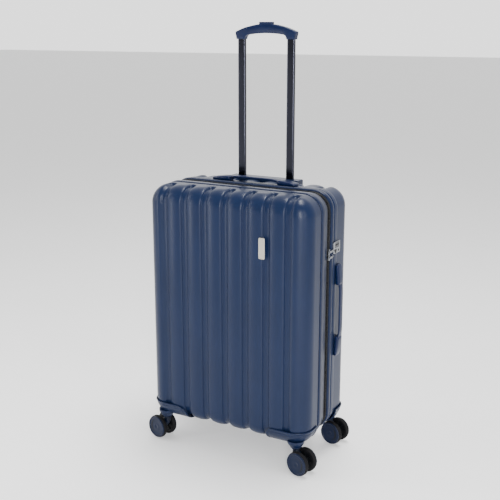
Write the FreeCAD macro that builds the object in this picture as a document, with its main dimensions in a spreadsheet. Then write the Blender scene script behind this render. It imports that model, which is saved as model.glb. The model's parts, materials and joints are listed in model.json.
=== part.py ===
import FreeCAD, Part
import math
import os
import Sketcher

# A hard shell suitcase on four twin-wheel casters, standing, with its trolley handle pulled out.
# X runs across the case (the lock and the side handle are at +X), Y from the front face to the
# back face, Z up. The origin is on the floor under the middle of the case. Millimetres.

Vector = FreeCAD.Vector
Placement = FreeCAD.Placement
Rotation = FreeCAD.Rotation
X_AXIS, Y_AXIS, Z_AXIS = Vector(1, 0, 0), Vector(0, 1, 0), Vector(0, 0, 1)

doc = FreeCAD.newDocument("Suitcase")
sheet = doc.addObject("Spreadsheet::Sheet", "Sizes")

SIZES = {
    # case
    "case_width": 436, "case_depth": 236, "case_bottom": 68, "case_top": 662,
    "corner_radius": 46, "face_radius": 40, "wall": 2.5,
    # ribs of the shells, and the channels between them
    "rib_pitch": 55.5, "channel_width": 15, "channel_depth": 7, "rib_round": 5.5, "rim_land": 20,
    # what lies round the mouth, as distances from the middle plane of the case
    "front_shell_edge": -46, "front_bead_edge": -26, "parting": -5,
    "back_bead_edge": 6, "back_shell_edge": 20,
    "bead_proud": 1.5, "bead_thick": 4.5, "tape_sunk": 2.5, "tape_thick": 1.6, "tape_gap": 0.3,
    # casters
    "caster_x": 184, "caster_y": 96, "caster_yaw": 12, "trail": 19,
    "wheel_radius": 29.5, "tread_depth": 4.5, "wheel_inner": 9.5, "wheel_outer": 24,
    "cap_thick": 3, "cap_radius": 27.8, "axle_radius": 3, "axle_half": 20.5, "running_fit": 0.05,
    "stem_radius": 4, "neck_radius": 7, "fork_half": 8, "boss_radius": 9,
    "housing_thick": 3, "housing_end": 112, "housing_top": 106, "housing_back": 52,
    "collar_radius": 13.8, "collar_bottom": 61.5, "socket_radius": 8, "socket_top": 92,
    # trolley
    "trolley_x": 67, "trolley_y": 90, "tube_wide": 20, "tube_deep": 10, "tube_wall": 1.2,
    "tube_round": 3, "tube_bottom": 560, "sleeve_bottom": 1000, "tube_top": 1013,
    "guide_wall": 1.7, "slide_gap": 0.3, "guide_bottom": 96, "trolley_travel": 331,
    "foot_high": 8, "foot_reach": 17, "foot_half": 8,
    "bezel_half": 95, "bezel_deep": 30, "bezel_bottom": 640, "bezel_top": 667,
    "grip_half": 82.5, "grip_shoulder": 1018, "grip_crown": 1037, "grip_under": 1014,
    "grip_deep": 18, "button_half": 18, "button_deep": 12, "button_top": 1040.5,
    "button_travel": 3, "yoke_bottom": 1019.6, "yoke_thick": 2, "yoke_wide": 8, "rod_radius": 2,
    "chamber_deep": 8.6, "grip_arc": 10,
    "pin_radius": 2.5, "pin_height": 576, "pin_proud": 2.5,
    # carry handles, in a frame with X along the handle and Z away from the case
    "handle_half": 115, "mount_long": 50, "mount_wide": 27, "mount_high": 12,
    "handle_wide": 21, "handle_thick": 3.6, "handle_rise": 9, "handle_seat": 2,
    "top_handle_y": 34, "side_handle_y": 46, "side_handle_z": 368,
    # lock, on the right side
    "lock_y": 32, "lock_z": 527, "lock_wide": 36, "lock_high": 28, "lock_proud": 4,
    "lock_deep": 14, "window_gap": 0.2, "dial_radius": 6, "dial_thick": 4, "dial_pitch": 7,
    "dial_rise": 6, "dial_proud": 0.8, "keyhole_radius": 3, "track_deep": 5,
    "slider_long": 13, "slider_half": 4.5, "slider_high": 5, "pull_thick": 2,
    # soft goods and small parts
    "strap_wide": 25, "strap_thick": 2, "strap_long": 600, "strap_lean": 47, "strap_z": 350,
    "buckle_wide": 62, "buckle_deep": 7, "buckle_high": 48,
    "divider_thick": 4, "divider_inset": 12, "divider_back": 5,
    "hinge_long": 470, "hinge_bottom": 130, "hinge_thick": 1.2,
    "badge_x": 102, "badge_z": 541, "badge_wide": 16, "badge_high": 50, "badge_thick": 2,
}
for row, (alias, number) in enumerate(SIZES.items(), 1):
    sheet.set(f"A{row}", alias)
    sheet.set(f"B{row}", str(number))
    sheet.setAlias(f"B{row}", alias)
doc.recompute()


def size(expression):
    """The number that an expression of the sheet's names comes to."""
    return float(sheet.evalExpression(expression))


def named(expression):
    """The same expression as an object outside the sheet writes it."""
    words = []
    for word in expression.replace("(", " ( ").replace(")", " ) ").split():
        words.append("Sizes." + word if word in SIZES else word)
    return " ".join(words)


# ---- helpers for parametric bodies -------------------------------------------------------------

def new_body(label):
    body = doc.addObject("PartDesign::Body", label)
    body.Label = label
    return body


def new_sketch(body, role, offset="0"):
    """A sketch on one of the body's own origin planes, moved along the plane's normal."""
    sketch = body.newObject("Sketcher::SketchObject", body.Label + "_sketch")
    plane = next(feature for feature in body.Origin.OriginFeatures if feature.Role == role)
    sketch.AttachmentSupport = [(plane, "")]
    sketch.MapMode = "FlatFace"
    sketch.setExpression("AttachmentOffset.Base.z", named(offset))
    return sketch


def pin_point(sketch, geometry, position, across, up):
    """Holds a point of the sketch at two expressions, measured from the sketch's origin."""
    for kind, axis, expression in (("DistanceX", -2, across), ("DistanceY", -1, up)):
        if abs(size(expression)) < 1e-9:
            sketch.addConstraint(Sketcher.Constraint("PointOnObject", geometry, position, axis))
            continue
        index = sketch.addConstraint(
            Sketcher.Constraint(kind, -1, 1, geometry, position, size(expression)))
        sketch.setExpression(f"Constraints[{index}]", named(expression))


def draw_curved_outline(sketch, corners):
    """A closed outline whose corners are (across, up, radius, side), all but side expressions.

    The stretch from a corner to the next is straight where radius is None. Otherwise it is an
    arc, which bulges to the left of the way it is drawn where side is 1, to the right where -1.
    The ends of a sketch's arc are numbered anticlockwise, whichever way it is drawn.
    """
    points = [Vector(size(across), size(up), 0) for across, up, _, _ in corners]
    ends = []
    for index, (_, _, radius, side) in enumerate(corners):
        start, end = points[index], points[(index + 1) % len(points)]
        if radius is None:
            ends.append((sketch.addGeometry(Part.LineSegment(start, end), False), 1, 2))
            continue
        turn, chord = size(radius), end - start
        height = turn - math.sqrt(turn ** 2 - chord.Length ** 2 / 4)
        left = Vector(-chord.y, chord.x, 0).normalize()
        middle = (start + end) / 2 + left * height * side
        arc = sketch.addGeometry(Part.Arc(start, middle, end), False)
        ends.append((arc, 1, 2) if side < 0 else (arc, 2, 1))
    for index, (across, up, _, _) in enumerate(corners):
        here, start_end, _ = ends[index]
        before, _, before_end = ends[index - 1]
        sketch.addConstraint(Sketcher.Constraint("Coincident", before, before_end, here, start_end))
        pin_point(sketch, here, start_end, across, up)
    for (here, _, _), (_, _, radius, _) in zip(ends, corners):
        if radius is not None:
            number = sketch.addConstraint(Sketcher.Constraint("Radius", here, size(radius)))
            sketch.setExpression(f"Constraints[{number}]", named(radius))


def draw_outline(sketch, corners):
    """A closed outline of straight sides through corners given as pairs of expressions."""
    draw_curved_outline(sketch, [(across, up, None, 0) for across, up in corners])


def draw_rectangle(sketch, low_across, low_up, high_across, high_up):
    draw_outline(sketch, [(low_across, low_up), (high_across, low_up),
                          (high_across, high_up), (low_across, high_up)])


def draw_rounded_rectangle(sketch, low_across, low_up, high_across, high_up, radius):
    """A rectangle whose corners are arcs."""
    left, right = f"{low_across} + ( {radius} )", f"{high_across} - ( {radius} )"
    under, over = f"{low_up} + ( {radius} )", f"{high_up} - ( {radius} )"
    draw_curved_outline(sketch, [
        (left, low_up, None, 0), (right, low_up, radius, -1),
        (high_across, under, None, 0), (high_across, over, radius, -1),
        (right, high_up, None, 0), (left, high_up, radius, -1),
        (low_across, over, None, 0), (low_across, under, radius, -1)])


def draw_circle(sketch, across, up, radius):
    centre = Vector(size(across), size(up), 0)
    index = sketch.addGeometry(Part.Circle(centre, Z_AXIS, size(radius)), False)
    pin_point(sketch, index, 3, across, up)
    number = sketch.addConstraint(Sketcher.Constraint("Radius", index, size(radius)))
    sketch.setExpression(f"Constraints[{number}]", named(radius))


def pad(body, sketch, length, midplane=False, reverse=False):
    feature = body.newObject("PartDesign::Pad", body.Label + "_pad")
    feature.Profile = sketch
    feature.setExpression("Length", named(length))
    feature.Midplane = midplane
    feature.Reversed = reverse
    doc.recompute()
    return feature


def pocket(body, sketch, length, midplane=False, reverse=False):
    """A pocket that has to take something away."""
    before = body.Shape.Volume
    feature = body.newObject("PartDesign::Pocket", body.Label + "_pocket")
    feature.Profile = sketch
    feature.setExpression("Length", named(length))
    feature.Midplane = midplane
    feature.Reversed = reverse
    doc.recompute()
    if body.Shape.Volume > before - 1:
        raise RuntimeError(body.Label + ": a pocket cuts nothing")
    return feature


def revolve(body, sketch, role):
    """A full turn of the sketch round one of the body's own axes."""
    feature = body.newObject("PartDesign::Revolution", body.Label + "_turn")
    feature.Profile = sketch
    axis = next(item for item in body.Origin.OriginFeatures if item.Role == role)
    feature.ReferenceAxis = (axis, [""])
    feature.Angle = 360
    doc.recompute()
    return feature


def round_edges(body, base, radius, chosen):
    """Fillets the edges of base that the test chosen(edge) picks."""
    names = [f"Edge{number}" for number, edge in enumerate(base.Shape.Edges, 1) if chosen(edge)]
    feature = body.newObject("PartDesign::Fillet", body.Label + "_fillet")
    feature.Base = (base, names)
    feature.setExpression("Radius", named(radius))
    doc.recompute()
    return feature


def runs_along(axis):
    """A test for straight edges that are parallel to an axis."""
    def test(edge):
        if edge.Curve.TypeId != "Part::GeomLine":
            return False
        return abs(abs(edge.Curve.Direction.dot(axis)) - 1) < 1e-6
    return test


def feature(label, shape, placement=Placement()):
    """A sub-part whose shape is built by Part's own functions from sizes in the sheet."""
    node = doc.addObject("Part::Feature", label)
    node.Label = label
    node.Shape = shape
    node.Placement = placement
    return node


# ---- shells ------------------------------------------------------------------------------------

def half_block(inset, edge):
    """One half of the case as a solid block, its front face rounded all round, flat at y = edge.

    inset moves every outer face inwards and keeps the rounding concentric.
    """
    across = size("case_width") / 2 - inset
    face = -size("case_depth") / 2 + inset
    low = size("case_bottom") + inset
    high = size("case_top") - inset
    block = Part.makeBox(2 * across, edge - face, high - low, Vector(-across, face, low))
    corners = [item for item in block.Edges if runs_along(Y_AXIS)(item)]
    block = block.makeFillet(size("corner_radius") - inset, corners)
    rim = [item for item in block.Edges if item.BoundBox.YMax < face + 0.01]
    return block.makeFillet(size("face_radius") - inset, rim)


def rib_slab(crest, start, end, rounding):
    """The part of the crest block between two planes across X, with its long edges rounded."""
    box = crest.BoundBox
    slab = crest.common(Part.makeBox(end - start, box.YLength + 2, box.ZLength + 2,
                                     Vector(start, box.YMin - 1, box.ZMin - 1)))
    sides = [plane for plane in (start, end) if abs(plane) < box.XMax - 1]

    def shoulder(edge):
        limits = edge.BoundBox
        flat = limits.XLength < 0.01 and any(abs(limits.XMin - side) < 0.01 for side in sides)
        return flat and limits.YMin < box.YMax - 0.01
    return slab.makeFillet(rounding, [edge for edge in slab.Edges if shoulder(edge)])


def ribbed_half(inset, edge):
    """The outside of a half with its ribs; a positive inset gives the hollow inside the wall."""
    pitch = size("rib_pitch")
    margin = size("channel_width") / 2 + inset
    rounding = size("rib_round") - min(inset, 2)
    crest = half_block(inset, edge)
    floor = half_block(size("channel_depth") + inset, edge)
    limit = size("case_width")
    channels = [(number - 3) * pitch for number in range(7)]
    starts = [-limit] + [channel + margin for channel in channels]
    ends = [channel - margin for channel in channels] + [limit]
    ribs = [rib_slab(crest, start, end, rounding) for start, end in zip(starts, ends)]
    land = Part.makeBox(2 * limit, size("rim_land") - inset, 2 * limit,
                        Vector(-limit, edge - size("rim_land") + inset, 0))
    return floor.multiFuse(ribs + [crest.common(land)]).removeSplitter()


def shell(edge):
    """A tray of even wall, open at y = edge."""
    outside = ribbed_half(0, edge)
    hollow = ribbed_half(size("wall"), edge + 5)
    return outside.cut(hollow)


def post(radius, across, along, low, high):
    return Part.makeCylinder(radius, high - low, Vector(across, along, low))


def caster_places():
    for depth, side_y in (("front", -1), ("back", 1)):
        for side, side_x in (("left", -1), ("right", 1)):
            yield f"{depth}_{side}", side_x, side_y


def cut_caster_holes(shape, side_y):
    for side_x in (-1, 1):
        hole = post(size("socket_radius") + 0.3, side_x * size("caster_x"),
                    side_y * size("caster_y"), 40, 110)
        shape = shape.cut(hole)
    return shape


front_tray = cut_caster_holes(shell(size("front_shell_edge")), -1)
feature("front_shell", front_tray)

back_tray = shell(-size("back_shell_edge")).mirror(Vector(0, 0, 0), Y_AXIS)
back_tray = cut_caster_holes(back_tray, 1)
lock_window = Part.makeBox(40, size("lock_wide + 2 * window_gap"), size("lock_high + 2 * window_gap"),
                           Vector(size("case_width / 2 - 20"),
                                  size("lock_y - lock_wide / 2 - window_gap"),
                                  size("lock_z - lock_high / 2 - window_gap")))
bezel_window = Part.makeBox(size("2 * bezel_half + 2 * window_gap"),
                            size("bezel_deep + 2 * window_gap"), 60,
                            Vector(size("- bezel_half - window_gap"),
                                   size("trolley_y - bezel_deep / 2 - window_gap"),
                                   size("bezel_bottom - 10")))
feature("back_shell", back_tray.cut(lock_window).cut(bezel_window))


# ---- rims and zip tapes ------------------------------------------------------------------------

def draw_case_outline(sketch, inset):
    """The case's outer outline seen from the front, moved inwards by inset."""
    draw_rounded_rectangle(sketch, f"( {inset} ) - case_width / 2", f"case_bottom + ( {inset} )",
                           f"case_width / 2 - ( {inset} )", f"case_top - ( {inset} )",
                           f"corner_radius - ( {inset} )")


def ring(label, start, end, sink, thick):
    """A closed band round the mouth between two depths, sunk below the shell's outer face."""
    body = new_body(label)
    sketch = new_sketch(body, "XZ_Plane", f"- ( {end} )")
    draw_case_outline(sketch, sink)
    draw_case_outline(sketch, f"{sink} + {thick}")
    pad(body, sketch, f"{end} - ( {start} )")
    return body


ring("front_rim_bead", "front_shell_edge", "front_bead_edge", "0 - bead_proud", "bead_thick")
ring("zip_tape_front", "front_bead_edge", "parting - tape_gap / 2", "tape_sunk", "tape_thick")
ring("zip_tape_back", "parting + tape_gap / 2", "back_bead_edge", "tape_sunk", "tape_thick")
back_bead = ring("back_rim_bead", "back_bead_edge", "back_shell_edge", "0 - bead_proud", "bead_thick")

# the lock's front edge stands in a notch of the back rim
lock_notch = new_sketch(back_bead, "YZ_Plane", "case_width / 2 - lock_deep")
draw_rectangle(lock_notch, "lock_y - lock_wide / 2 - window_gap",
               "lock_z - lock_high / 2 - window_gap", "back_shell_edge + 1",
               "lock_z + lock_high / 2 + window_gap")
pocket(back_bead, lock_notch, "lock_deep + 2 * bead_proud", reverse=True)


# ---- casters -----------------------------------------------------------------------------------

def caster_housing(side_x, side_y):
    """A plate wrapped round a bottom corner, with a conical boss and the stem's socket."""
    thick, skin = size("housing_thick"), 0.15
    edge = 10 - size("housing_back")
    inside = half_block(-skin, edge)
    end, top = size("housing_end"), size("housing_top")
    region = Part.makeBox(150, 100, 80, Vector(end, -size("housing_back") - 100, top - 80))
    lip = [item for item in region.Edges if runs_along(Y_AXIS)(item)
           and abs(item.Vertexes[0].X - end) < 0.01 and item.Vertexes[0].Z > top - 1]
    region = region.makeFillet(16, lip)
    across, depth = size("caster_x"), -size("caster_y")
    collar = size("collar_bottom")
    cone = Part.makeCone(12.5, 21, 14, Vector(across, depth, collar + 3))
    ring_of_boss = post(size("collar_radius"), across, depth, collar, collar + 3)
    shape = half_block(-thick, edge).common(region).fuse([cone, ring_of_boss]).cut(inside)
    shape = shape.fuse(post(size("socket_radius"), across, depth, collar, size("socket_top")))
    bore = post(size("stem_radius + running_fit"), across, depth, collar - 1, size("socket_top") + 1)
    shape = shape.cut(bore)
    if side_x < 0:
        shape = shape.mirror(Vector(0, 0, 0), X_AXIS)
    if side_y > 0:
        shape = shape.mirror(Vector(0, 0, 0), Y_AXIS)
    return shape


def caster_fork(label, place):
    """Stem and neck turned in one, an arm down to the axle, and the axle's boss."""
    body = new_body(label)
    turned = new_sketch(body, "XZ_Plane")
    neck_top = "collar_bottom - 0.5"
    draw_outline(turned, [("0", "44"), ("neck_radius", "44"), ("neck_radius", neck_top),
                          ("stem_radius", neck_top), ("stem_radius", "socket_top - 1"),
                          ("0", "socket_top - 1")])
    revolve(body, turned, "Z_Axis")
    arm = new_sketch(body, "XZ_Plane")
    draw_outline(arm, [("1.5 - neck_radius", "50"), ("2.5 - neck_radius", "42"),
                       ("trail - boss_radius + 1", "wheel_radius - 4"),
                       ("trail + boss_radius - 2", "wheel_radius + 5"),
                       ("neck_radius - 1.5", "55"), ("0", "58")])
    pad(body, arm, "2 * fork_half - 4", midplane=True)
    boss = new_sketch(body, "XZ_Plane")
    draw_circle(boss, "trail", "wheel_radius", "boss_radius")
    pad(body, boss, "2 * fork_half", midplane=True)
    bore = new_sketch(body, "XZ_Plane")
    draw_circle(bore, "trail", "wheel_radius", "axle_radius")
    pocket(body, bore, "4 * fork_half", midplane=True)
    body.Placement = place
    return body


def caster_axle(label, place):
    axle = doc.addObject("Part::Cylinder", label)
    axle.Label = label
    axle.setExpression("Radius", named("axle_radius"))
    axle.setExpression("Height", named("2 * axle_half"))
    lie = Placement(Vector(size("trail"), -size("axle_half"), size("wheel_radius")),
                    Rotation(X_AXIS, -90))
    axle.Placement = place * lie
    return axle


def wheel_hub(label, place):
    """Hub turned round Y: the bore is blind under the dished cap on its outer face."""
    body = new_body(label)
    sketch = new_sketch(body, "XY_Plane")
    rim = "wheel_radius - tread_depth"
    cap = "wheel_outer - cap_thick"
    bore = "axle_radius + running_fit"
    draw_outline(sketch, [
        (bore, "wheel_inner"), ("8", "wheel_inner"), ("10", "wheel_inner + 3"),
        (f"{rim} - 3", "wheel_inner + 3"), (f"{rim} - 3", "wheel_inner + 1"),
        (rim, "wheel_inner + 1"), (rim, cap), ("cap_radius", cap),
        ("cap_radius", "wheel_outer - 1"), ("cap_radius - 1.5", "wheel_outer"),
        ("cap_radius - 6", "wheel_outer - 0.6"), ("9", "wheel_outer - 1.4"),
        ("0", "wheel_outer - 1.4"), ("0", cap), (bore, cap)])
    revolve(body, sketch, "Y_Axis")
    body.Placement = place
    return body


def wheel_tyre(label, place):
    """A rubber band round the hub, butted against the cap."""
    body = new_body(label)
    sketch = new_sketch(body, "XY_Plane")
    rim = "wheel_radius - tread_depth"
    start, end = "wheel_inner + 1", "wheel_outer - cap_thick"
    draw_outline(sketch, [(rim, start), ("wheel_radius - 2", start), ("wheel_radius", f"{start} + 2"),
                          ("wheel_radius", f"{end} - 2"), ("wheel_radius - 1.2", end), (rim, end)])
    revolve(body, sketch, "Y_Axis")
    body.Placement = place
    return body


for corner, corner_x, corner_y in caster_places():
    feature("caster_housing_" + corner, caster_housing(corner_x, corner_y))
    heading = -size("caster_yaw") if corner_x > 0 else 180 - size("caster_yaw")
    swivel = Placement(Vector(corner_x * size("caster_x"), corner_y * size("caster_y"), 0),
                       Rotation(Z_AXIS, heading))
    caster_fork("caster_fork_" + corner, swivel)
    caster_axle("caster_axle_" + corner, swivel)
    for wheel, turn in (("fore", 180 if corner_x > 0 else 0), ("aft", 0 if corner_x > 0 else 180)):
        hub_place = swivel * Placement(Vector(size("trail"), 0, size("wheel_radius")),
                                       Rotation(Z_AXIS, turn))
        wheel_hub(f"wheel_hub_{corner}_{wheel}", hub_place)
        wheel_tyre(f"tyre_{corner}_{wheel}", hub_place)


# ---- trolley -----------------------------------------------------------------------------------

def draw_trolley_pair(sketch, margin, radius):
    """The tube's section drawn on both sides, made larger by margin all round."""
    for side in ("-", ""):
        across = f"{side} trolley_x" if side else "trolley_x"
        draw_rounded_rectangle(
            sketch, f"{across} - tube_wide / 2 - ( {margin} )",
            f"trolley_y - tube_deep / 2 - ( {margin} )",
            f"{across} + tube_wide / 2 + ( {margin} )",
            f"trolley_y + tube_deep / 2 + ( {margin} )", radius)


guides = new_body("guide_tubes")
guide_sketch = new_sketch(guides, "XY_Plane", "guide_bottom")
draw_trolley_pair(guide_sketch, "slide_gap + guide_wall", "tube_round + guide_wall")
draw_trolley_pair(guide_sketch, "slide_gap", "tube_round")
pad(guides, guide_sketch, "bezel_bottom - guide_bottom")
for outward, offset in ((True, "trolley_x + 3"), (False, "- trolley_x - 3")):
    slot = new_sketch(guides, "YZ_Plane", offset)
    draw_rectangle(slot, "trolley_y - pin_radius - 0.4", "pin_height - trolley_travel - 5",
                   "trolley_y + pin_radius + 0.4", "pin_height + 6")
    pocket(guides, slot, "tube_wide", reverse=outward)

foot = new_body("guide_foot")
foot_sketch = new_sketch(foot, "XY_Plane", "guide_bottom - foot_high")
draw_rounded_rectangle(foot_sketch, "0 - trolley_x - foot_reach", "trolley_y - foot_half",
                       "trolley_x + foot_reach", "trolley_y + foot_half", "4")
pad(foot, foot_sketch, "foot_high")

bezel = new_body("trolley_bezel")
bezel_sketch = new_sketch(bezel, "XY_Plane", "bezel_bottom")
draw_rectangle(bezel_sketch, "0 - bezel_half", "trolley_y - bezel_deep / 2", "bezel_half",
               "trolley_y + bezel_deep / 2")
bezel_block = pad(bezel, bezel_sketch, "bezel_top - bezel_bottom")
round_edges(bezel, bezel_block, "3", lambda edge: edge.BoundBox.ZMin > size("bezel_top") - 0.1)
bezel_holes = new_sketch(bezel, "XY_Plane", "bezel_top")
draw_trolley_pair(bezel_holes, "slide_gap + 0.1", "tube_round")
pocket(bezel, bezel_holes, "bezel_top - bezel_bottom")

tubes = new_body("inner_tubes")
tube_sketch = new_sketch(tubes, "XY_Plane", "tube_bottom")
draw_trolley_pair(tube_sketch, "0", "tube_round")
draw_trolley_pair(tube_sketch, "0 - tube_wall", "tube_round - tube_wall")
pad(tubes, tube_sketch, "tube_top - tube_bottom")
for outward, offset in ((True, "trolley_x + 3"), (False, "- trolley_x - 3")):
    pin_hole = new_sketch(tubes, "YZ_Plane", offset)
    draw_circle(pin_hole, "trolley_y", "pin_height", "pin_radius + running_fit")
    pocket(tubes, pin_hole, "tube_wide", reverse=outward)


def draw_grip(sketch):
    """The trolley grip from the front: crown arc, two sleeves, arched underside."""
    rise = "( grip_crown - grip_shoulder )"
    crown = f"( grip_half * grip_half + {rise} * {rise} ) / ( 2 * {rise} )"
    outer, inner = "trolley_x + tube_wide / 2 + 1.4", "trolley_x - tube_wide / 2 - 1.4"
    hollow, spring = f"{inner} - 9.6", "grip_under - 3"
    arch = f"( ( {hollow} ) * ( {hollow} ) + 9 ) / 6"
    draw_curved_outline(sketch, [
        (f"0 - ( {outer} )", "sleeve_bottom", None, 0), ("0 - grip_half", "grip_shoulder", crown, 1),
        ("grip_half", "grip_shoulder", None, 0), (outer, "sleeve_bottom", None, 0),
        (inner, "sleeve_bottom", None, 0), (inner, f"{spring} - 9.6", "grip_arc", -1),
        (hollow, spring, arch, -1), (f"0 - ( {hollow} )", spring, "grip_arc", -1),
        (f"0 - ( {inner} )", f"{spring} - 9.6", None, 0),
        (f"0 - ( {inner} )", "sleeve_bottom", None, 0)])


grip = new_body("trolley_grip")
grip_sketch = new_sketch(grip, "XZ_Plane", "0 - trolley_y")
draw_grip(grip_sketch)
grip_block = pad(grip, grip_sketch, "grip_deep", midplane=True)
round_edges(grip, grip_block, "5", lambda edge: edge.Length > 150)
chamber = new_sketch(grip, "XZ_Plane", "0 - trolley_y")
draw_rectangle(chamber, "0 - trolley_x - 2.6", "yoke_bottom - button_travel - 0.2",
               "trolley_x + 2.6", "yoke_bottom + yoke_thick + 0.4")
pocket(grip, chamber, "chamber_deep", midplane=True)
bores = new_sketch(grip, "XY_Plane", "sleeve_bottom")
draw_trolley_pair(bores, "0.05", "tube_round")
pocket(grip, bores, "tube_top - sleeve_bottom + 0.1", reverse=True)
rod_holes = new_sketch(grip, "XY_Plane", "tube_top")
draw_circle(rod_holes, "trolley_x", "trolley_y", "rod_radius + 0.5")
draw_circle(rod_holes, "0 - trolley_x", "trolley_y", "rod_radius + 0.5")
pocket(grip, rod_holes, "yoke_bottom - button_travel - tube_top", reverse=True)
button_well = new_sketch(grip, "XY_Plane", "grip_crown + 1")
draw_rectangle(button_well, "0 - button_half - 0.3", "trolley_y - button_deep / 2 - 0.3",
               "button_half + 0.3", "trolley_y + button_deep / 2 + 0.3")
pocket(grip, button_well, "grip_crown - yoke_bottom - yoke_thick + button_travel + 1.5")

button = new_body("trolley_button")
button_sketch = new_sketch(button, "XY_Plane", "yoke_bottom + yoke_thick")
draw_rounded_rectangle(button_sketch, "0 - button_half", "trolley_y - button_deep / 2",
                       "button_half", "trolley_y + button_deep / 2", "2")
button_block = pad(button, button_sketch, "button_top - yoke_bottom - yoke_thick")
round_edges(button, button_block, "1.2", lambda edge: edge.BoundBox.ZMin > size("button_top") - 0.1)

yoke = doc.addObject("Part::Box", "release_yoke")
yoke.setExpression("Length", named("2 * trolley_x + 4"))
yoke.setExpression("Width", named("yoke_wide"))
yoke.setExpression("Height", named("yoke_thick"))
yoke.Placement.Base = Vector(size("- trolley_x - 2"), size("trolley_y - yoke_wide / 2"),
                             size("yoke_bottom"))

rods = new_body("push_rods")
rod_sketch = new_sketch(rods, "XY_Plane", "pin_height + 8")
draw_circle(rod_sketch, "trolley_x", "trolley_y", "rod_radius")
draw_circle(rod_sketch, "0 - trolley_x", "trolley_y", "rod_radius")
pad(rods, rod_sketch, "yoke_bottom - pin_height - 8")

for side, sign in (("left", -1), ("right", 1)):
    pin = doc.addObject("Part::Cylinder", "latch_pin_" + side)
    pin.setExpression("Radius", named("pin_radius"))
    pin.setExpression("Height", named("tube_wide / 2 + pin_proud - 2"))
    pin.Placement = Placement(Vector(sign * size("trolley_x + 2"), size("trolley_y"),
                                     size("pin_height")), Rotation(Y_AXIS, sign * 90))


# ---- carry handles -----------------------------------------------------------------------------

def carry_handle(name, place):
    """Two mounts with windows at their inner ends, and an arched grip that can lift in them."""
    mounts = new_body(name + "_handle_mounts")
    sketch = new_sketch(mounts, "XY_Plane", "0.1")
    inner, outer, half = "handle_half - mount_long", "handle_half", "mount_wide / 2"
    draw_rounded_rectangle(sketch, inner, f"0 - {half}", outer, half, "4")
    draw_rounded_rectangle(sketch, f"0 - {outer}", f"0 - {half}", f"0 - ( {inner} )", half, "4")
    blocks = pad(mounts, sketch, "mount_high")
    top = size("mount_high")
    round_edges(mounts, blocks, "2.5", lambda edge: edge.BoundBox.ZMin > top - 0.1)
    window = new_sketch(mounts, "YZ_Plane", "0 - handle_half + 8")
    draw_rectangle(window, "0 - handle_wide / 2 - 0.4", "1.5", "handle_wide / 2 + 0.4",
                   "mount_high - 0.9")
    pocket(mounts, window, "2 * handle_half - 16", reverse=True)
    mounts.Placement = place

    bar = new_body(name + "_handle_grip")
    side = new_sketch(bar, "XZ_Plane")
    reach, bend = "handle_half - 10", "handle_half - mount_long - 3"
    radius = f"( ( {bend} ) * ( {bend} ) + handle_rise * handle_rise ) / ( 2 * handle_rise )"
    low, high = "handle_seat", "handle_seat + handle_thick"
    draw_curved_outline(side, [
        (f"0 - ( {reach} )", low, None, 0), (f"0 - ( {bend} )", low, radius, 1), (bend, low, None, 0),
        (reach, low, None, 0), (reach, high, None, 0),
        (bend, high, f"{radius} + handle_thick", -1), (f"0 - ( {bend} )", high, None, 0),
        (f"0 - ( {reach} )", high, None, 0)])
    strip = pad(bar, side, "handle_wide", midplane=True)
    round_edges(bar, strip, "1.2", lambda edge: edge.Length > 60 and edge.BoundBox.YLength < 0.1)
    bar.Placement = place


carry_handle("top", Placement(Vector(0, size("top_handle_y"), size("case_top")), Rotation()))
carry_handle("side", Placement(
    Vector(size("case_width / 2"), size("side_handle_y"), size("side_handle_z")),
    Rotation(Y_AXIS, 90)))


# ---- lock and zip sliders ----------------------------------------------------------------------

lock_case = new_body("lock_case")
lock_sketch = new_sketch(lock_case, "YZ_Plane", "case_width / 2 + lock_proud")
draw_rounded_rectangle(lock_sketch, "lock_y - lock_wide / 2", "lock_z - lock_high / 2",
                       "lock_y + lock_wide / 2", "lock_z + lock_high / 2", "2")
lock_block = pad(lock_case, lock_sketch, "lock_deep", reverse=True)
face_x = size("case_width / 2 + lock_proud")
round_edges(lock_case, lock_block, "1", lambda edge: edge.BoundBox.XMin > face_x - 0.1)
wells = new_sketch(lock_case, "YZ_Plane", "case_width / 2 + lock_proud")
for place in ("- dial_pitch", "", "+ dial_pitch"):
    draw_rectangle(wells, f"lock_y {place} - dial_thick / 2 - 0.3", "lock_z - 0.5",
                   f"lock_y {place} + dial_thick / 2 + 0.3", "lock_z + 12.5")
pocket(lock_case, wells, "lock_deep - 2")
track = new_sketch(lock_case, "YZ_Plane", "case_width / 2 + lock_proud")
draw_rectangle(track, "lock_y - 12.3", "lock_z - 12.3", "lock_y - 3.7", "lock_z - 3.7")
draw_circle(track, "lock_y + 8", "lock_z - 8", "keyhole_radius")
pocket(lock_case, track, "track_deep")

for number, shift in ((1, 1), (2, 0), (3, -1)):
    dial = doc.addObject("Part::Cylinder", f"lock_dial_{number}")
    dial.setExpression("Radius", named("dial_radius"))
    dial.setExpression("Height", named("dial_thick"))
    dial_y = size("lock_y - dial_thick / 2") + shift * size("dial_pitch")
    dial.Placement = Placement(Vector(face_x + size("dial_proud - dial_radius"), dial_y,
                                      size("lock_z + dial_rise")), Rotation(X_AXIS, -90))

release = new_body("lock_button")
release_sketch = new_sketch(release, "YZ_Plane", "case_width / 2 + lock_proud - 4.8")
draw_rounded_rectangle(release_sketch, "lock_y - 12", "lock_z - 9", "lock_y - 4", "lock_z - 4", "1")
release_block = pad(release, release_sketch, "6.2")
round_edges(release, release_block, "0.6", lambda edge: edge.BoundBox.XMin > face_x + 1)


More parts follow.
